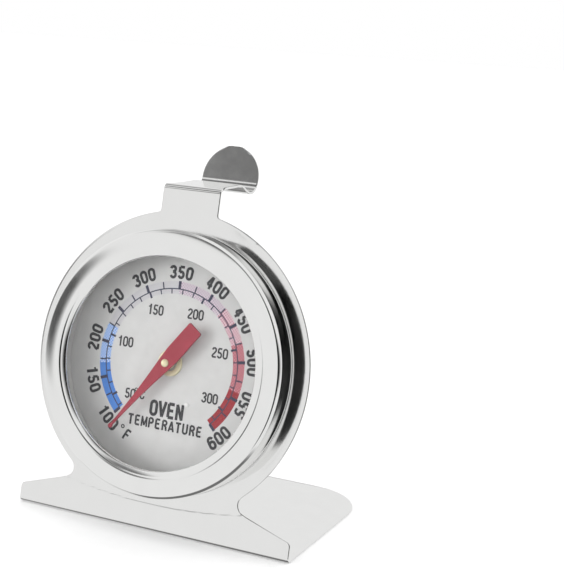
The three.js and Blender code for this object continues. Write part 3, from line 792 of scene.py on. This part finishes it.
HALF = (RIGHT - LEFT) / 2
STROKES = {
    "0": [(path_of(oval(MIDDLE, HIGH - 0.21, HALF, 0.21, 0, 180),
                   oval(MIDDLE, LOW + 0.21, HALF, 0.21, 180, 360)), True, 1.0)],
    "1": [(path_of([0.33, 0.0], [0.33, 1.0]), False, 1.05),
          (path_of([0.09, 0.74], [0.2, 0.76], [0.3, 0.86]), False, 0.75)],
    "2": [(path_of(oval(MIDDLE, HIGH - 0.2, HALF - 0.01, 0.2, 175, -25), [0.36, 0.5],
                   [0.15, 0.26], [0.1, LOW], [0.52, LOW]), False, 1.0)],
    "3": [(path_of(oval(MIDDLE, HIGH - 0.19, HALF - 0.02, 0.19, 170, -75), [0.24, 0.535]), False, 1.0),
          (path_of([0.24, 0.52], oval(MIDDLE - 0.01, LOW + 0.215, HALF, 0.215, 75, -170)), False, 1.0)],
    "4": [(path_of([0.32, 0.95], [0.1, 0.31], [0.54, 0.31]), False, 0.85),
          (path_of([0.37, 0.0], [0.37, 1.0]), False, 1.0)],
    "5": [(path_of([0.49, HIGH], [0.15, HIGH], [0.125, 0.5]), False, 0.95),
          (path_of([0.13, 0.5], oval(MIDDLE - 0.01, LOW + 0.23, HALF, 0.23, 120, -165)), False, 1.0)],
    "6": [(path_of(oval(MIDDLE, HIGH - 0.2, HALF, 0.2, 10, 180), oval(MIDDLE, LOW + 0.21, HALF, 0.21,
                   180, 360), oval(MIDDLE, 0.4, HALF, 0.19, 0, 165)), False, 1.0)],
    "O": [(path_of(oval(MIDDLE, HIGH - 0.22, HALF, 0.22, 0, 180),
                   oval(MIDDLE, LOW + 0.22, HALF, 0.22, 180, 360)), True, 1.0)],
    "C": [(path_of(oval(MIDDLE, HIGH - 0.21, HALF, 0.21, -12, 180),
                   oval(MIDDLE, LOW + 0.21, HALF, 0.21, 180, 372)), False, 1.0)],
    "V": [(path_of([0.06, 1.0], [0.28, 0.03], [0.5, 1.0]), False, 1.0)],
    "E": [(path_of([0.5, HIGH], [0.11, HIGH], [0.11, LOW], [0.5, LOW]), False, 1.0),
          (path_of([0.15, 0.51], [0.45, 0.51]), False, 0.95)],
    "F": [(path_of([0.5, HIGH], [0.11, HIGH], [0.11, 0.0]), False, 1.0),
          (path_of([0.15, 0.49], [0.45, 0.49]), False, 0.95)],
    "N": [(path_of([0.1, 0.0], [0.1, 0.97], [0.46, 0.03], [0.46, 1.0]), False, 0.95)],
    "M": [(path_of([0.04, 0.0], [0.06, 0.97], [0.29, 0.12], [0.52, 0.97], [0.54, 0.0]), False, 0.85)],
    "T": [(path_of([0.02, HIGH], [0.54, HIGH]), False, 1.0),
          (path_of([0.28, 0.0], [0.28, HIGH - 0.05]), False, 1.05)],
    "P": [(path_of([0.11, 0.0], [0.11, HIGH], oval(0.3, 0.7, 0.17, HIGH - 0.7, 90, -90), [0.13, 0.485]),
           False, 1.0)],
    "R": [(path_of([0.11, 0.0], [0.11, HIGH], oval(0.3, 0.715, 0.17, HIGH - 0.715, 90, -90),
                   [0.13, 0.515]), False, 1.0),
          (path_of([0.3, 0.47], [0.43, 0.32], [0.47, 0.0]), False, 1.0)],
    "A": [(path_of([0.05, 0.0], [0.28, 0.97], [0.51, 0.0]), False, 0.95),
          (path_of([0.14, 0.26], [0.42, 0.26]), False, 0.8)],
    "U": [(path_of([LEFT, 1.0], oval(MIDDLE, LOW + 0.2, HALF, 0.2, 180, 360), [RIGHT, 1.0]), False, 1.0)],
    "°": [(oval(0.2, 0.84, 0.13, 0.13, 0, 360, 20)[:-1], True, 0.55)],
}


def stroke(path, closed, width):
    """The pen's band along a path: each point is set off to both sides along the corner's mitre."""
    ahead = np.roll(path, -1, 0) - path
    behind = path - np.roll(path, 1, 0)
    if not closed:
        ahead[-1] = behind[-1]
        behind[0] = ahead[0]
    ahead = ahead / np.linalg.norm(ahead, axis=1)[:, None]
    behind = behind / np.linalg.norm(behind, axis=1)[:, None]
    mitre = np.stack([-(ahead + behind)[:, 1], (ahead + behind)[:, 0]], -1)
    mitre /= np.linalg.norm(mitre, axis=1)[:, None]
    normal = np.stack([-behind[:, 1], behind[:, 0]], -1)
    reach = np.minimum(1 / np.maximum((mitre * normal).sum(1), 0.3), 2.2)
    side = mitre * (reach * width / 2)[:, None]
    points = np.stack([path - side, path + side], 1).reshape(-1, 2)
    return points, grid_faces(len(path), 2, closed, False)


def straight_runs(path, closed):
    """The path cut at its sharp corners, so the pen's band never folds over itself."""
    if closed:
        return [path]
    steps = np.diff(path, axis=0)
    steps = steps / np.linalg.norm(steps, axis=1)[:, None]
    sharp = np.nonzero((steps[1:] * steps[:-1]).sum(1) < 0.35)[0] + 1
    ends = [0, *sharp.tolist(), len(path) - 1]
    return [path[a : b + 1] for a, b in zip(ends[:-1], ends[1:])]


def word(text, height, advance, boldness, aspect=1.0):
    """A line of letters centred on zero: (points in x and y, stroke order, faces)."""
    total = advance * (len(text) - 1)
    parts = []
    for k, letter in enumerate(text):
        runs = [
            (run * [aspect, 1.0], closed, width)
            for path, closed, width in STROKES.get(letter, [])
            for run in straight_runs(path, closed)
        ]
        for order, (run, closed, width) in enumerate(runs):
            points, faces = stroke(run, closed, PEN * width * boldness)
            flat = points * height + [k * advance - total / 2 - 0.28 * aspect * height, -height / 2]
            layer = np.full((len(flat), 1), order * 0.002)
            parts.append((np.hstack([flat, layer]), faces))
    return joined(parts)


def set_straight(lettering, x, up):
    """Lettering placed level, its middle at a point of the dial."""
    points, faces = lettering
    return on_head(points[:, 0] + x, points[:, 1] + up, DIAL_FACE + GLYPH_RAISE + points[:, 2]), faces


def set_round(lettering, radius, angle, tops=1):
    """Lettering bent round the dial: x runs along the circle and y outwards, or both the other way
    where its tops point inwards."""
    points, faces = lettering
    a = clockwise(angle) - tops * points[:, 0] / radius
    r = radius + tops * points[:, 1]
    return on_head(r * np.cos(a), r * np.sin(a), DIAL_FACE + GLYPH_RAISE + points[:, 2]), faces


F_LABEL_RADIUS, F_HEIGHT, F_ADVANCE = 20.9, 3.0, 2.12
C_LABEL_RADIUS, C_HEIGHT, C_ADVANCE = 12.8, 2.45, 1.42
fahrenheit_parts = [
    set_round(word(str(value), F_HEIGHT, F_ADVANCE, 1.32, aspect=1.08), F_LABEL_RADIUS,
              fahrenheit_angle(value), 1 if 200 <= value <= 500 else -1)
    for value in range(100, 601, 50)
]
fahrenheit_parts.append(
    set_round(word("°F", F_HEIGHT * 0.92, 1.9, 1.15, aspect=1.05), 20.35, -151.5, -1)
)
printed("fahrenheit_numbers", joined(fahrenheit_parts), black_ink)

celsius_parts = []
for value, label_angle in ((50, -132.5), (100, -76), (150, -26), (200, 22), (250, 71.5), (300, 120)):
    a = clockwise(label_angle)
    celsius_parts.append(
        set_straight(word(str(value), C_HEIGHT, C_ADVANCE, 1.0, aspect=0.98),
                     C_LABEL_RADIUS * math.cos(a), C_LABEL_RADIUS * math.sin(a))
    )
a = clockwise(-130.5)
celsius_parts.append(
    set_straight(word("°C", C_HEIGHT, 1.55, 0.95, aspect=0.98),
                 C_LABEL_RADIUS * math.cos(a) + 2.75, C_LABEL_RADIUS * math.sin(a))
)
printed("celsius_numbers", joined(celsius_parts), black_ink)

caption = [
    set_straight(word("OVEN", 3.7, 2.25, 1.2, aspect=1.0), 0.6, -10.9),
    set_straight(word("TEMPERATURE", 2.45, 1.79, 1.2, aspect=1.08), 0.55, -14.4),
]
printed("caption", joined(caption), black_ink)

# ------------------------------------------------------------------ pointer and arbor
POINTER_BACK, POINTER_FRONT = 1.2, 1.65
TAIL_END, TAIL_ROUND = -11.1, 0.4
BULB_CENTRE, BULB_RADIUS = 20.45, 0.55
NECK_END = 19.7


def pointer_blade():
    """The pointer as rows from tail to tip, each from -w to +w. The half width w widens from the blunt
    tail to the shoulder by the arbor, narrows in a long taper and ends in a small round bulb."""
    bulb = np.radians(np.linspace(-140, 0, 15))
    bulb_v = BULB_CENTRE + BULB_RADIUS * np.cos(bulb)
    bulb_w = np.maximum(BULB_RADIUS * np.abs(np.sin(bulb)), 0.03)
    tail = np.radians(np.linspace(8, 90, 7))
    tail_v = TAIL_END + TAIL_ROUND * (1 - np.cos(tail))
    v = np.concatenate([tail_v, np.linspace(-10.2, 19.3, 60), [NECK_END], bulb_v])
    body_w = np.interp(
        v,
        [TAIL_END, -10.7, -3.0, 0.0, 5.0, 10.5, 17.6, 19.9, 21.0],
        [1.92, 1.94, 2.0, 1.75, 1.2, 0.72, 0.36, 0.32, 0.32],
    )
    inwards = np.clip(1 - ((TAIL_END + TAIL_ROUND - v) / TAIL_ROUND) ** 2, 0, 1)
    rounded_w = body_w - TAIL_ROUND + TAIL_ROUND * np.sqrt(inwards)
    w = np.where(v < -10.68, rounded_w, body_w)
    w[-len(bulb_v):] = bulb_w
    u = np.linspace(-1, 1, 9)
    x = w[:, None] * u
    y = np.broadcast_to(v[:, None], x.shape)
    a = math.radians(REST_ANGLE)
    flat_x = x * math.cos(a) + y * math.sin(a)
    flat_y = -x * math.sin(a) + y * math.cos(a)
    return on_head(flat_x, flat_y, (POINTER_BACK + POINTER_FRONT) / 2), grid_faces(len(v), len(u))


hand = piece("pointer_blade", pointer_blade(), red_enamel, "pointer", ["pointer"])
walled(hand, POINTER_FRONT - POINTER_BACK)
eased(hand, 0.1, 3)

BUSH_FACE = DIAL_FACE + 0.05 + 0.4
WASHER_FACE = BUSH_FACE + 0.3
bush_profile = softened(
    [[0.85, -4.1], [1.6, -4.1], [1.6, -2.65], [2.3, -2.55], [1.9, -2.2], [1.9, -1.05], [3.1, -1.05],
     [3.1, -0.8], [2.95, -0.65], [0.85, -0.65]],
    0.06, 2,
)
bush = piece("bush", turned(bush_profile, 72), pale_brass, "stand", ["bearing_bush"])
flats_kept(bush)


def washer(name, inner, outer, back, front, replaced):
    profile = softened([[inner, back], [outer, back], [outer, front], [inner, front]], 0.06, 2)
    return flats_kept(
        piece(name, turned(profile, 60), strip_steel, "stand", [replaced])
    )


washer("bush_seat_washer", 1.95, 3.4, -2.15, -1.65, "bush_washer")
washer("thrust_ring", 0.9, 1.9, BUSH_FACE + 0.05, WASHER_FACE, "thrust_washer")


def arbor_front():
    """The shaft from the barrel's front face: shoulder under the pointer, neck, riveted dome."""
    return turned(
        softened(
            [[0, -4.25], [0.8, -4.25], [0.8, WASHER_FACE + 0.05], [1.5, WASHER_FACE + 0.05],
             [1.5, POINTER_BACK - 0.03], [0.5, POINTER_BACK - 0.03], [0.5, POINTER_FRONT + 0.02],
             [0.95, POINTER_FRONT + 0.02], [0.82, POINTER_FRONT + 0.24], [0.42, POINTER_FRONT + 0.36],
             [0, POINTER_FRONT + 0.38]],
            0.05, 2, closed=False,
        ),
        48, closed=False,
    )


def barrel_half(side):
    """Half of the slotted barrel: a D-shaped section, straight along the slot and round outside,
    with its back edge chamfered; section by depth, closed by rings that shrink to a line."""
    half_slot = 0.275
    start = math.acos(half_slot / 2.1)
    angle = np.linspace(-start, start, 33)
    rim = np.stack([2.1 * np.cos(angle), 2.1 * np.sin(angle)], -1)
    chord = np.stack([np.full(9, half_slot), np.linspace(rim[-1, 1], rim[0, 1], 9)], -1)[1:-1]
    section = np.concatenate([rim, chord])
    middle = np.array([1.1, 0.0])
    shrink = np.array([0.0, 0.5, 0.93, 1.0, 1.0, 0.0])
    depth = np.array([-9.5, -9.5, -9.5, -9.36, -4.2, -4.2])
    ring = middle + shrink[:, None, None] * (section - middle)
    return on_head(side * ring[..., 0], ring[..., 1], depth[:, None]), grid_faces(
        len(depth), len(section), False, True
    )


arbor_parts = [arbor_front(), barrel_half(1), barrel_half(-1)]
arbor = piece("arbor", joined(arbor_parts), pale_brass, "pointer", ["pointer_arbor"])
flats_kept(arbor)

# ------------------------------------------------------------------ case
SEGMENTS_PER_WEDGE = 24


def case_shell():
    """The can's outer skin. Its back is six wedges, one round each vent: each is a grid from the
    wedge's boundary (centre hole, side, rim, side) to the vent's circle, along lines to the vent's
    middle. The edge, wall, step and front rim are a profile carried round on the same points."""
    edge_r = CASE_RADIUS - 1.3
    n = SEGMENTS_PER_WEDGE
    half = math.pi / 6
    fan = np.linspace(-half, half, n + 1)
    side_r = np.linspace(VENT_RADIUS, edge_r, 25)
    rim = np.stack([edge_r * np.sin(fan), edge_r * np.cos(fan)], -1)
    hub = np.stack([VENT_RADIUS * np.sin(fan), VENT_RADIUS * np.cos(fan)], -1)
    right = np.stack([side_r * math.sin(half), side_r * math.cos(half)], -1)
    left = right * [-1, 1]
    border = np.concatenate([hub[:-1], right[:-1], rim[::-1][:-1], left[::-1][:-1]])
    vent = np.array([0.0, VENT_CIRCLE])
    out = border - vent
    circle = vent + out / np.linalg.norm(out, axis=1)[:, None] * VENT_RADIUS
    blend = np.array([0.0, 0.06, 0.2, 0.4, 0.65, 1.0])[:, None, None]
    wedge = circle + blend * (border - circle)
    faces = grid_faces(len(blend), len(border), False, True)
    parts = []
    for k in range(6):
        a = k * math.pi / 3
        x = wedge[..., 0] * math.cos(a) + wedge[..., 1] * math.sin(a)
        y = -wedge[..., 0] * math.sin(a) + wedge[..., 1] * math.cos(a)
        parts.append((on_head(x, y, CASE_BACK), faces))
    ledge = DIAL_FACE - 0.55 - CASE_SHEET
    bead_front = -SHEET - 0.03
    bead_back = bead_front - 1.0
    wall = np.concatenate([
        arc(edge_r, CASE_BACK + 1.3, 1.3, 270, 360, 10),
        [[CASE_RADIUS, -12.0], [CASE_RADIUS, -8.0], [CASE_RADIUS, -4.0]],
        softened(
            [[CASE_RADIUS, -3.4], [CASE_RADIUS, ledge], [CASE_FRONT_RADIUS, ledge + 0.15],
             [CASE_FRONT_RADIUS, bead_back], [BEAD_OUTER, bead_back], [BEAD_OUTER, bead_front],
             [CASE_FRONT_RADIUS, bead_front], [CASE_FRONT_RADIUS, bead_front + 1.2]],
            [0.3, 0.3, 0.3, 0.12, 0.42, 0.42, 0.12, 0.1], 4, closed=False,
        ),
        [[CASE_FRONT_RADIUS, 3.2]],
    ])
    parts.append(turned(wall, 6 * n, closed=False))
    return joined(parts)


can = piece("case", case_shell(), drawn_steel, "stand", ["rear_case"],
            faces_out=True)
walled(can, CASE_SHEET, -1.0)
eased(can, 0.07)

# ------------------------------------------------------------------ bimetal coil
COIL_TURNS = 6
COIL_INNER, COIL_OUTER = 2.75, 12.0
COIL_FRONT, COIL_BACK = -5.2, -9.0
ANCHOR_ANGLE = 148.2


def coil_strip():
    """A strip of rectangular section carried along its line: straight across the barrel's slot, then
    a spiral r = inner + (outer - inner) t, out to the anchor. Also gives each point's place along
    the line, 0 at the anchor and 1 at the arbor."""
    start = math.pi / 2
    end = start - math.radians(ANCHOR_ANGLE) + COIL_TURNS * 2 * math.pi
    t = np.linspace(0, 1, COIL_TURNS * 60 + 1)
    angle = start + (end - start) * t
    radius = COIL_INNER + (COIL_OUTER - COIL_INNER) * t
    spiral = np.stack([radius * np.cos(angle), radius * np.sin(angle)], -1)
    # the inner end bends out of the slot in a quarter of a turn
    lead = path_of([0.0, -1.6], [0.0, -0.8], [0.0, 0.0], [0.0, 0.9], [0.0, 1.7], [-0.03, 2.2],
                   [-0.2, 2.55], [-0.5, 2.72])
    keep = t * (end - start) > 0.32
    line = np.concatenate([lead, spiral[keep]])
    ahead = np.gradient(line, axis=0)
    ahead /= np.linalg.norm(ahead, axis=1)[:, None]
    side = np.stack([-ahead[:, 1], ahead[:, 0]], -1)
    section = softened([[-0.175, COIL_BACK], [0.175, COIL_BACK], [0.175, COIL_FRONT],
                        [-0.175, COIL_FRONT]], 0.08, 2)
    flat = line[:, None, :] + section[None, :, :1] * side[:, None, :]
    forward = np.broadcast_to(section[None, :, 1], flat.shape[:2])
    points = on_head(flat[..., 0], flat[..., 1], forward)
    faces = grid_faces(len(line), len(section), False, True).tolist()
    n = len(section)
    faces.append(list(range(n)))
    faces.append(list(range((len(line) - 1) * n, len(line) * n)))
    length = np.concatenate([[0], np.cumsum(np.linalg.norm(np.diff(line, axis=0), axis=1))])
    held = lead_length = length[len(lead) - 1]
    share = 1 - np.clip((length - held) / (length[-1] - lead_length), 0, 1)
    return (points, faces), np.repeat(share, n)


coil_surface, coil_share = coil_strip()
coil = piece("coil", coil_surface, bimetal_strip, None, ["bimetal_coil"])
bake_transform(coil)
if len(coil.data.vertices) != len(coil_share):
    raise ValueError("the coil's points were merged, so its winding shares no longer fit")

# ------------------------------------------------------------------ small fastenings
ANCHOR_RIVET_RADIUS = 10.5
rivet_a = clockwise(ANCHOR_ANGLE)
rivet_place = (ANCHOR_RIVET_RADIUS * math.cos(rivet_a), ANCHOR_RIVET_RADIUS * math.sin(rivet_a))
rivet_profile = softened(
    [[0, -2.7], [0.6, -2.7], [0.8, -2.4], [0.8, -2.3], [0.4, -2.3], [0.4, DIAL_FACE + 0.02],
     [0.66, DIAL_FACE + 0.02], [0.52, DIAL_FACE + 0.2], [0, DIAL_FACE + 0.28]],
    0.06, 3, closed=False,
)
piece("dial_rivet", turned(rivet_profile, 36, closed=False, centre=rivet_place), satin_tin,
      "stand", ["anchor_rivet"])
for node_name, look in (("coil_anchor", strip_steel), ("coil_rivet", pale_brass)):
    carried = frame["nodes"][node_name]
    for material_slot in carried.material_slots:
        material_slot.material = look

# ------------------------------------------------------------------ floor, light and camera
FLOOR_HALF = 6.0
floor_mesh = bpy.data.meshes.new("floor")
floor_mesh.from_pydata(
    [(-FLOOR_HALF, -FLOOR_HALF, -2e-5), (FLOOR_HALF, -FLOOR_HALF, -2e-5),
     (FLOOR_HALF, FLOOR_HALF, -2e-5), (-FLOOR_HALF, FLOOR_HALF, -2e-5)], [], [(0, 1, 2, 3)],
)
floor = bpy.data.objects.new("floor", floor_mesh)
bpy.context.scene.collection.objects.link(floor)
# Seamless white paper: matt and even.
floor_mesh.materials.append(paint("white_paper", "#fcfcfc", "#fafafa", 0.9, 3.0, 0.001))

world = bpy.data.worlds.new("studio")
bpy.context.scene.world = world
world.use_nodes = True
sky = world.node_tree
sky.nodes.clear()
direction = add(sky, "TexCoord").outputs["Generated"]


def card(azimuth, elevation, reach, softness, darkness):
    """How much a soft dark card, seen towards a direction, takes from the light."""
    a, e = math.radians(azimuth), math.radians(elevation)
    axis = (math.sin(a) * math.cos(e), -math.cos(a) * math.cos(e), math.sin(e))
    facing = add(sky, "VectorMath", {0: direction, 1: axis}, operation="DOT_PRODUCT")
    return add(
        sky,
        "MapRange",
        {
            "Value": facing.outputs["Value"],
            "From Min": math.cos(math.radians(reach + softness)),
            "From Max": math.cos(math.radians(max(reach - softness, 0))),
            "To Min": 1.0,
            "To Max": 1.0 - darkness,
        },
        interpolation_type="SMOOTHSTEP",
    ).outputs["Result"]


ROOM = 0.88
SOFT_LIGHT = 0.8  # what matt faces get from the whole room
takers = [
    card(46, 10, 42, 3, 0.98),  # the dark side of the room, to the right
    card(2, 54, 25, 2, 0.92),  # a dark screen above the camera
    card(13, 26, 12, 3, 0.92),  # its lower corner
    card(-35, 56, 13, 3, 0.8),  # its far end
    card(-26, 26, 7, 3, 0.8),  # a dark board high on the left, which the hook's flap mirrors
    card(-115, 55, 14, 7, 0.6),  # a grey panel overhead
    card(-40, 6.5, 5, 2.5, 0.9),  # a small dark stand on the left
    card(0, -90, 38, 8, 0.8),  # the table's own shade, below
]
brightness = add(sky, "Math", {0: ROOM, 1: takers[0]}, operation="MULTIPLY").outputs[0]
for taker in takers[1:]:
    brightness = add(sky, "Math", {0: brightness, 1: taker}, operation="MULTIPLY").outputs[0]
ray = add(sky, "LightPath")
seen = add(sky, "Background", {"Color": (1, 1, 1, 1), "Strength": 1.0})
lit = add(sky, "Background", {"Color": (1, 1, 1, 1), "Strength": brightness})
soft = add(sky, "Background", {"Color": (1, 1, 1, 1), "Strength": SOFT_LIGHT})
diffuse, camera_ray = ray.outputs["Is Diffuse Ray"], ray.outputs["Is Camera Ray"]
mix = add(sky, "MixShader", {0: diffuse, 1: lit.outputs[0], 2: soft.outputs[0]})
mix = add(sky, "MixShader", {0: camera_ray, 1: mix.outputs[0], 2: seen.outputs[0]})
add(sky, "OutputWorld", {"Surface": mix.outputs[0]})


def softbox(name, azimuth, elevation, distance, size, power):
    """A square soft lamp that faces the dial's centre. It lights but isn't seen in the steel."""
    a, e = math.radians(azimuth), math.radians(elevation)
    away = np.array([math.sin(a) * math.cos(e), -math.cos(a) * math.cos(e), math.sin(e)])
    data = bpy.data.lights.new(name, "AREA")
    data.shape = "SQUARE"
    data.size = size
    data.energy = power
    lamp = bpy.data.objects.new(name, data)
    lamp.location = CENTRE + away * distance
    lamp.rotation_euler = (math.radians(90 - elevation), 0.0, math.radians(azimuth))
    lamp.visible_glossy = False
    lamp.visible_camera = False
    bpy.context.scene.collection.objects.link(lamp)
    return lamp


softbox("key_lamp", -48, 8, 0.7, 0.3, 1.4)
softbox("fill_lamp", 35, 28, 0.7, 0.5, 1.0)
ceiling_data = bpy.data.lights.new("ceiling_light", "SUN")
ceiling_data.energy = 1.2
ceiling_data.angle = math.radians(120)
ceiling = bpy.data.objects.new("ceiling_light", ceiling_data)
ceiling.visible_glossy = False
bpy.context.scene.collection.objects.link(ceiling)
floor.visible_glossy = False

camera_data = bpy.data.cameras.new("camera")
camera_data.lens = 84.03
camera_data.sensor_width = 36.0
camera_data.sensor_fit = "HORIZONTAL"
camera_data.clip_start = 0.01
camera = bpy.data.objects.new("camera", camera_data)
camera.location = (0.14135, -0.27238, 0.11484)
camera.rotation_euler = tuple(math.radians(a) for a in (79.048, -3.366, 24.622))
bpy.context.scene.collection.objects.link(camera)
bpy.context.scene.camera = camera
bpy.context.scene.view_settings.view_transform = "Standard"
